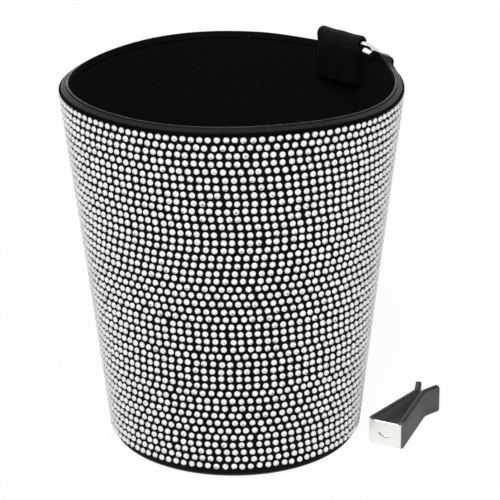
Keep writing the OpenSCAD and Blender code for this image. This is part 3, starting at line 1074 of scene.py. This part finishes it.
SLEEVE_HALF = CLIP_T / 2 + SLEEVE_T
MEET_V = CLIP_GAP / 2 + SLEEVE_HALF


def at_clip(points):
    """Points drawn along the clip's own axes, turned and moved to where it lies."""
    c, s = math.cos(CLIP_TURN), math.sin(CLIP_TURN)
    away = CLIP_AWAY * np.array([math.cos(CLIP_DIR), math.sin(CLIP_DIR)])
    x, y = points[..., 0], points[..., 1]
    return np.stack([away[0] + x * c - y * s, away[1] + x * s + y * c, points[..., 2]], -1)


def sleeve_piece(name, side, node):
    """A sleeve: a rounded flat section carried along the leg, with a bend and a blunt tip.

    The outer skin runs to the tip and back inside, so the sleeve is hollow and closed.
    """
    slope = (CLIP_PLATE / 2 - MEET_V) / CLIP_LEG
    leg = np.array([
        [SLEEVE_FROM, CLIP_PLATE / 2 - SLEEVE_FROM * slope],
        [CLIP_LEG, MEET_V],
        [CLIP_LEG + CLIP_FLARE, CLIP_SPREAD],
    ])
    path = eased(spaced(leg, SLEEVE_STEP), SLEEVE_ROUNDS)
    ahead = np.gradient(path, axis=0)
    ahead /= np.linalg.norm(ahead, axis=1, keepdims=True)
    normal = np.stack([-ahead[:, 1], ahead[:, 0]], 1)

    def skin(half_thick, tall, corner, end):
        ring = round_box(2 * half_thick, tall, corner)
        use = slice(0, len(path) - end)
        p, n = path[use], normal[use]
        flat = p[:, None, :] + n[:, None, :] * ring[None, :, 0:1]
        z = np.broadcast_to(ring[None, :, 1] + CLIP_W / 2 + SLEEVE_T, flat.shape[:2])
        return np.concatenate([flat, z[..., None]], -1)

    outer = skin(SLEEVE_HALF, CLIP_W + 2 * SLEEVE_T, SLEEVE_CORNER, 0)
    inner = skin(CLIP_T / 2 + STRIP_ROOM, CLIP_W + 2 * STRIP_ROOM, STRIP_CORNER, 2)
    last, middle = outer[-1], outer[-1].mean(0)
    tips = [middle + (last - middle) * share + np.append(ahead[-1] * past, 0)
            for past, share in TIP_RINGS]
    rings = np.concatenate([inner[::-1], outer, np.array(tips)])
    # the path is the upper leg's; the lower one is its mirror image
    rings[..., 1] *= side
    return swept_piece(name, at_clip(rings), SLEEVE, "bin", "clip_sleeve", [node])


sleeve_piece("sleeve_left", 1, "clip_sleeve_left")
sleeve_piece("sleeve_right", -1, "clip_sleeve_right")

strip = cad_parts["clip_strip"]
strip.data.materials.clear()
strip.data.materials.append(ZINC)


# ---- floor, light and camera

# The floor's radius and how far it is under the bin, in metres
FLOOR_R = 6
FLOOR_DROP = 0.00005
# How far the floor is lifted to white, and the white room's strength as light
PAPER_LIFT = 0.95
ROOM_LIGHT = 0.33
# Softboxes: name, place and size in metres, and watts. The key is over the photograph's
# camera, one beside the clip lights its sleeve, and one lights the rim from behind.
SOFTBOXES = (("key_softbox", (0.85, -0.9, 1.5), 0.9, 28),
             ("side_softbox", (1.4, 0.9, 1.0), 0.7, 0.8),
             ("back_softbox", (-1.25, 1.15, 0.65), 0.7, 6))
# The lamps' aim, on the bin's axis
LAMP_AIM = (0, 0, 0.08)


def shows_white(tree):
    """1 for rays from the camera, from gloss and through glass, and 0 for the rest."""
    path = add(tree, "ShaderNodeLightPath")
    first = add(tree, "ShaderNodeMath", {
        0: path.outputs["Is Camera Ray"], 1: path.outputs["Is Glossy Ray"]},
        operation="MAXIMUM")
    both = add(tree, "ShaderNodeMath", {
        0: first.outputs[0], 1: path.outputs["Is Transmission Ray"]}, operation="MAXIMUM")
    return both.outputs[0]


def floor_finish():
    """Matt white studio paper; what the camera sees is lifted to white, shadow kept."""
    made, tree, at = new_finish("studio_paper")
    fibre = add(tree, "ShaderNodeTexNoise", {
        "Vector": at.outputs["Object"], "Scale": 1 / (2.0 * MM), "Detail": 3,
        "Roughness": NOISE_ROUGH})
    colour = add(tree, "ShaderNodeValToRGB", {"Fac": fibre.outputs["Fac"]},
                 stops=((NOISE_LOW, "#f2f2f2"), (NOISE_HIGH, "#f6f6f6")))
    paper = add(tree, "ShaderNodeBsdfPrincipled", {
        "Base Color": colour.outputs["Color"], "Roughness": 0.9, "IOR": 1.45})
    glow = add(tree, "ShaderNodeEmission", {"Color": (1, 1, 1, 1), "Strength": 1.0})
    share = add(tree, "ShaderNodeMath", {0: shows_white(tree), 1: PAPER_LIFT},
                operation="MULTIPLY")
    mixed = add(tree, "ShaderNodeMixShader", {
        0: share.outputs[0], 1: paper.outputs[0], 2: glow.outputs[0]})
    add(tree, "ShaderNodeOutputMaterial", {"Surface": mixed.outputs[0]})
    return made


def floor_piece():
    """A wide disc under the bin."""
    a = np.linspace(0, 2 * math.pi, 96, endpoint=False)
    mesh = bpy.data.meshes.new("studio_floor")
    ring = np.stack([FLOOR_R * np.cos(a), FLOOR_R * np.sin(a), 0 * a - FLOOR_DROP], 1)
    mesh.from_pydata(ring.tolist(), [], [list(range(len(a)))])
    made = bpy.data.objects.new("studio_floor", mesh)
    bpy.context.scene.collection.objects.link(made)
    mesh.materials.append(floor_finish())


floor_piece()


def studio_world():
    """A white room: strength 1 where it is seen or mirrored, and less as light."""
    world = bpy.data.worlds.new("studio_world")
    bpy.context.scene.world = world
    world.use_nodes = True
    tree = world.node_tree
    tree.nodes.clear()
    strength = add(tree, "ShaderNodeMapRange", {
        "Value": shows_white(tree), "To Min": ROOM_LIGHT, "To Max": 1.0})
    back = add(tree, "ShaderNodeBackground", {
        "Color": (1, 1, 1, 1), "Strength": strength.outputs["Result"]})
    add(tree, "ShaderNodeOutputWorld", {"Surface": back.outputs[0]})


studio_world()


def softbox(name, place, size, watts):
    """A square lamp aimed at LAMP_AIM."""
    lamp = bpy.data.lights.new(name, "AREA")
    lamp.size = size
    lamp.energy = watts
    made = bpy.data.objects.new(name, lamp)
    made.location = place
    aim = Vector(LAMP_AIM) - Vector(place)
    made.rotation_euler = aim.to_track_quat("-Z", "Y").to_euler()
    bpy.context.scene.collection.objects.link(made)


for name, place, size, watts in SOFTBOXES:
    softbox(name, place, size, watts)


def photo_camera():
    """The camera, on a line from the bin's middle at the photograph's angles."""
    lens = bpy.data.cameras.new("photo_camera")
    lens.lens = VIEW_LENS
    lens.sensor_width = 36
    lens.shift_x, lens.shift_y = VIEW_SHIFT
    lens.clip_start, lens.clip_end = 0.01, 50
    made = bpy.data.objects.new("photo_camera", lens)
    back = Vector((math.sin(VIEW_TURN) * math.cos(VIEW_RISE),
                   -math.cos(VIEW_TURN) * math.cos(VIEW_RISE), math.sin(VIEW_RISE)))
    middle = Vector((0, 0, (RIM_TOP / 2) * MM))
    made.location = middle + back * VIEW_DISTANCE
    look = (-back).to_track_quat("-Z", "Y").to_matrix()
    made.rotation_euler = (look @ Matrix.Rotation(VIEW_ROLL, 3, "Z")).to_euler()
    bpy.context.scene.collection.objects.link(made)
    bpy.context.scene.camera = made


photo_camera()
bpy.context.scene.view_settings.view_transform = "Standard"
